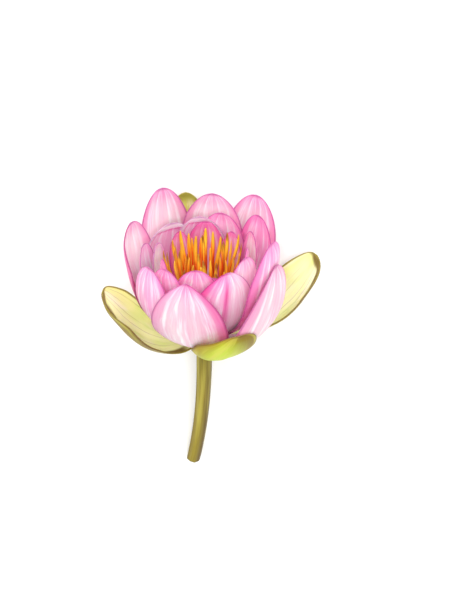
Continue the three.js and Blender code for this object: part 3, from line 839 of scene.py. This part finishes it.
def ovary():
    line = evenly(np.array(ovary_outline(), float), OVARY_RINGS)
    for _ in range(3):
        line[1:-1] = 0.25 * line[:-2] + 0.5 * line[1:-1] + 0.25 * line[2:]
    # the two ends of the outline lie on the axis and have no ring of their own
    r, z = line[1:-1, :1], line[1:-1, 1:]
    a = angles(OVARY_SIDES)
    ray = np.cos(a * STIGMA_RAYS)
    dish = (r < STIGMA_R - 0.8) & (z > OVARY_TOP_Z / 2)
    z = z + RAY_HEIGHT * ray * smooth(r, 1.5, 3.5) * dish
    points = np.stack([r * np.cos(a), r * np.sin(a), z], -1).reshape(-1, 3)
    ring = np.arange(1, OVARY_RINGS - 1)[:, None] / OVARY_RINGS
    uv = np.stack(np.broadcast_arrays(a / (2 * np.pi), ring), -1).reshape(-1, 2)
    side_c, low_c, dish_c, ray_c = (
        linear(c) for c in ((240, 208, 136), (200, 206, 116), (252, 224, 104), (255, 244, 176)))
    wall = blend(low_c, side_c, smooth(z, 8.0, 16.0)[..., None])
    top = blend(dish_c, ray_c, (0.5 + 0.5 * ray)[:, None])
    colour = np.where(dish[..., None], top, wall).reshape(-1, 3)
    mat = streaked_material("ovary", (255, 242, 176), (234, 190, 92), 40, 12, 0.45, 0.4, 0.15)
    faces = tube_faces(OVARY_RINGS - 2, OVARY_SIDES)
    obj = new_object("fine_pistil", place(points), faces, [mat], uv, colour)
    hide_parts("pistil")
    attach(obj, "root")


ovary()

# ---- stalk -------------------------------------------------------------------------------------------
STALK_RINGS, STALK_SIDES = 150, 72
CUT_RINGS = (0.97, 0.9, 0.8, 0.68, 0.55, 0.42, 0.3, 0.18, 0.08)
# four large and four small air canals: the first one's azimuth, then their distance from the middle
# and their radius, both as shares of the stalk's radius
CANAL_KINDS = ((0.5, 0.42, 0.17), (1.28, 0.62, 0.09))
CANALS = [(az + math.pi / 2 * k, away, radius) for az, away, radius in CANAL_KINDS for k in range(4)]
CANAL_DEPTH = 1.2


def stalk_path():
    """Rows of how far along (0 to 1), how deep below the flower and how thick, to the cut."""
    head = [(0, 1.2, RECEPTACLE_R - 0.9), (0, 1.9, RECEPTACLE_R - 0.75), (0, 2.7, RECEPTACLE_R - 0.9),
            (0, 4.6, RECEPTACLE_R - 2.4), (0.02, 7, STEM_R_TOP + 0.35)]
    s = 0.04 + 0.96 * np.arange(1, 61) / 60
    body = np.stack([s, s * STEM_LENGTH + 6 * (1 - s), blend(STEM_R_TOP, STEM_R_END, s)], -1)
    rows = np.concatenate([head, body])
    dense = np.linspace(0, len(rows) - 1, STALK_RINGS)
    path = np.stack([np.interp(dense, np.arange(len(rows)), column) for column in rows.T], -1)
    path[:-1, 2] = np.convolve(np.pad(path[:, 2], 2, mode="edge"), np.ones(5) / 5, "valid")[:-1]
    return path


def stalk_ring(s, depth, radius, ribbed):
    """One ring of points square to the bent stalk; ribbed is 0 to 1."""
    a = angles(STALK_SIDES)
    radius = radius + ribbed * (0.10 * np.cos(9 * a) + 0.06 * np.cos(5 * a + 1.0))
    x, y = radius * np.cos(a), radius * np.sin(a)
    bend_x, bend_y = STEM_BEND
    lean = (x * bend_x * 2.2 * s**1.2 + y * bend_y * 2 * s) / STEM_LENGTH
    return np.stack([bend_x * s**2.2 + x, bend_y * s**2 + y, lean - depth], -1)


def in_canal(share):
    """Which points of the cut face's ring at this share of the radius are in an air canal."""
    a = angles(STALK_SIDES)
    inside = np.zeros(STALK_SIDES, bool)
    for az, away, radius in CANALS:
        x, y = share * np.cos(a) - away * math.cos(az), share * np.sin(a) - away * math.sin(az)
        inside |= np.hypot(x, y) < radius
    return inside


def stalk():
    # canal_shade_c is painted shade: the darker colour down the shallow air canals stands in for the depth
    # of these holes
    light_c, dark_c, green_c, cut_c, canal_shade_c = (
        linear(c) for c in ((148, 131, 38), (90, 69, 24), (120, 110, 32), (206, 206, 140), (112, 110, 60)))
    a = angles(STALK_SIDES)
    skin = blend(light_c, dark_c, (0.5 + 0.5 * np.cos(2 * a + 0.7))[:, None])
    rings, levels, colour = [], [], []
    path = stalk_path()
    for s, depth, radius in path:
        rings.append(stalk_ring(s, depth, radius, np.clip((depth - 5) / 8, 0, 1)))
        levels.append(depth / STEM_LENGTH)
        colour.append(blend(green_c, skin, min(1, depth / 40)))
    # the cut face: rings inwards, sunk where there is an air canal, whose floor is painted darker, painted
    # shade for the depth of the hole
    s, depth, radius = path[-1]
    for share in CUT_RINGS:
        sunk = in_canal(share)[:, None]
        rings.append(stalk_ring(s, depth, radius * share, share) + sunk * (0, 0, CANAL_DEPTH))
        levels.append(1.0 + 0.1 * (1 - share))
        colour.append(np.where(sunk, canal_shade_c, cut_c))
    points = place(np.concatenate(rings))
    points[:, 2] = np.maximum(points[:, 2], 0)
    uv = np.stack(np.meshgrid(a / (2 * np.pi), levels), -1).reshape(-1, 2)
    mat = streaked_material("stalk", (188, 176, 78), (74, 52, 20), 26, 2.4, 0.5, 0.6, 0.25)
    faces = tube_faces(len(rings), STALK_SIDES)
    obj = new_object("fine_stem", points, faces, [mat], uv, np.concatenate(colour))
    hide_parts("stem")
    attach(obj, "root")


stalk()

# ---- stage, in metres --------------------------------------------------------------------------------
FLOOR_HALF = 6.0
FLOOR_GREY = 0.93
WORLD_STRENGTH = 0.86
LIGHTS = (
    # name, where it is, where it points, size, power
    ("key", (-0.6, 1.0, 0.75), (0, 0, 0.04), 0.9, 7.3),
    ("bowl", (0.5, 1.2, 0.45), (0, 0, 0.06), 0.8, 6.4),
    ("overhead", (0.1, 0.2, 1.2), (0, 0, 0.03), 0.5, 5.8),
    ("fill", (0.15, -0.9, 0.75), (0, 0, 0.03), 1.0, 1.5),
)


def floor():
    mesh = bpy.data.meshes.new("floor")
    corners = [(x * FLOOR_HALF, y * FLOOR_HALF, 0) for x, y in ((-1, -1), (1, -1), (1, 1), (-1, 1))]
    mesh.from_pydata(corners, [], [(0, 1, 2, 3)])
    m = Nodes("floor")
    m.bsdf.inputs["Base Color"].default_value = (FLOOR_GREY, FLOOR_GREY, FLOOR_GREY, 1)
    m.bsdf.inputs["Roughness"].default_value = 0.9
    m.bsdf.inputs["Specular IOR Level"].default_value = 0.0
    mesh.materials.append(m.mat)
    obj = bpy.data.objects.new("floor", mesh)
    bpy.context.scene.collection.objects.link(obj)


def disk_light(name, where, target, size, power):
    data = bpy.data.lights.new(name, "AREA")
    data.shape = "DISK"
    data.size = size
    data.energy = power
    obj = bpy.data.objects.new(name, data)
    obj.location = where
    obj.rotation_euler = (Vector(target) - Vector(where)).to_track_quat("-Z", "Y").to_euler()
    bpy.context.scene.collection.objects.link(obj)


def world():
    studio = bpy.data.worlds.new("studio")
    studio.use_nodes = True
    background = studio.node_tree.nodes["Background"]
    background.inputs[0].default_value = (1, 1, 1, 1)
    background.inputs[1].default_value = WORLD_STRENGTH
    bpy.context.scene.world = studio


floor()
world()
for light in LIGHTS:
    disk_light(*light)

# ---- camera: the drawing's view, 33 degrees above the flower's own equator ---------------------------
VIEW = math.radians(33.0) - TILT  # from straight above the table
PICTURE = (468, 600)
BASE_PIXEL = (204, 338)  # where the picture shows the flower's base
MM_PER_PIXEL = 0.62  # at the flower's base
DISTANCE = 1100.0
SENSOR = 36.0


def camera():
    back = np.array([0, math.sin(VIEW), math.cos(VIEW)])
    up = np.array([0, math.cos(VIEW), -math.sin(VIEW)])
    right = np.cross(up, back)
    aside = (PICTURE[0] / 2 - BASE_PIXEL[0]) * MM_PER_PIXEL
    above = (BASE_PIXEL[1] - PICTURE[1] / 2) * MM_PER_PIXEL
    eye = (SHIFT + right * aside + up * above + back * DISTANCE) / 1000
    data = bpy.data.cameras.new("camera")
    data.sensor_fit = "VERTICAL"
    data.sensor_height = SENSOR
    data.lens = SENSOR * DISTANCE / (PICTURE[1] * MM_PER_PIXEL)
    data.clip_end = 20
    obj = bpy.data.objects.new("camera", data)
    obj.matrix_world = Matrix([*zip(right, up, back, eye), (0, 0, 0, 1)])
    bpy.context.scene.collection.objects.link(obj)
    bpy.context.scene.camera = obj


camera()
bpy.context.scene.view_settings.view_transform = "Standard"
bpy.context.scene.view_settings.look = "None"
